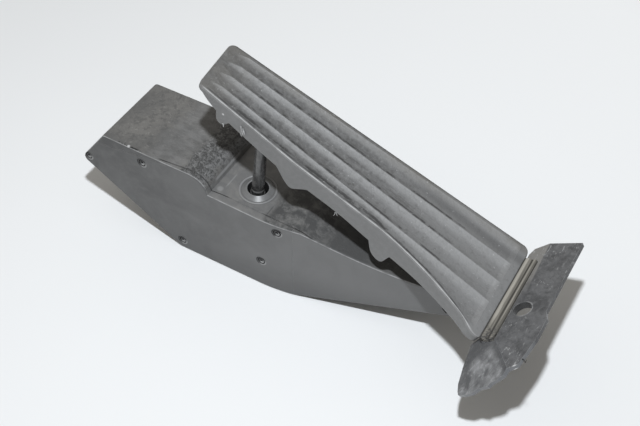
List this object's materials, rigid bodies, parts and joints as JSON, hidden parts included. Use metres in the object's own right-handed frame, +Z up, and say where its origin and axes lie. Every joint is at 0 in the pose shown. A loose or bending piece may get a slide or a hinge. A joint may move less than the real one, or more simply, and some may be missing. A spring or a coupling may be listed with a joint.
{
  "type": "accelerator pedal",
  "caption": "Floor-hinged accelerator pedal: a fluted plate on a heel plate pushes a rod into a boat-shaped housing with a sprung lever and angle sensor.",
  "frame": {"origin": "on the flat belly that the part rests on, under the middle of the housing's width", "axes": "+X along the pedal towards its heel, +Y across it towards the plug socket, +Z up"},
  "size_m": [0.3053, 0.1055, 0.138],
  "materials": {
    "housing_plastic": "grained black nylon, dusty on the deck",
    "cover_plastic": "satin black nylon",
    "dark_screws": "blackened steel",
    "grommet": "satin black plastic",
    "heel_plastic": "black plastic, scuffed grey on the wing",
    "hinge_plastic": "glossy grey-brown plastic",
    "pedal_plastic": "satin black plastic, worn along the ridges",
    "rod_plastic": "satin black plastic",
    "lever_plastic": "black nylon",
    "steel": "bright steel",
    "bronze": "sintered bronze or tinned copper alloy",
    "rubber": "black rubber",
    "board": "lacquered circuit board",
    "chips": "black moulding compound"
  },
  "bodies": {
    "housing": {"housing_shell": "housing_plastic", "side_cover": "cover_plastic", "cover_screws": "dark_screws", "rod_grommet": "grommet", "heel_plate": "heel_plastic", "heel_screws": "steel", "hinge_strip": "hinge_plastic", "near_bush": "bronze", "far_bush": "bronze", "spring_seat": "lever_plastic", "outer_spring": "steel", "inner_spring": "steel", "idle_stop": "rubber", "sensor_board": "board", "sensor_chips": "chips", "board_screws": "steel", "connector_pins": "bronze"},
    "pedal": {"pedal_plate": "pedal_plastic", "push_rod": "rod_plastic", "rod_foot": "rod_plastic"},
    "lever": {"throttle_lever": "lever_plastic", "pivot_pin": "steel", "friction_washer": "steel", "sensor_rotor": "bronze"}
  },
  "joints": [
    {"name": "pedal_hinge", "type": "hinge", "parent": "housing", "child": "pedal", "pos_m": [0.1616, 0, 0.0547], "axis": [0, -1, 0], "range_deg": [0, 12], "stiffness_Nm_per_rad": 13, "springref_deg": -9.17},
    {"name": "lever_pivot", "type": "hinge", "parent": "housing", "child": "lever", "pos_m": [-0.058, 0, 0.04], "axis": [0, 1, 0], "range_deg": [0, 28.4], "deforming": ["outer_spring", "inner_spring"]}
  ],
  "couplings": [
    {"joint": "lever_pivot", "follows": "pedal_hinge", "ratio": 2.36}
  ]
}
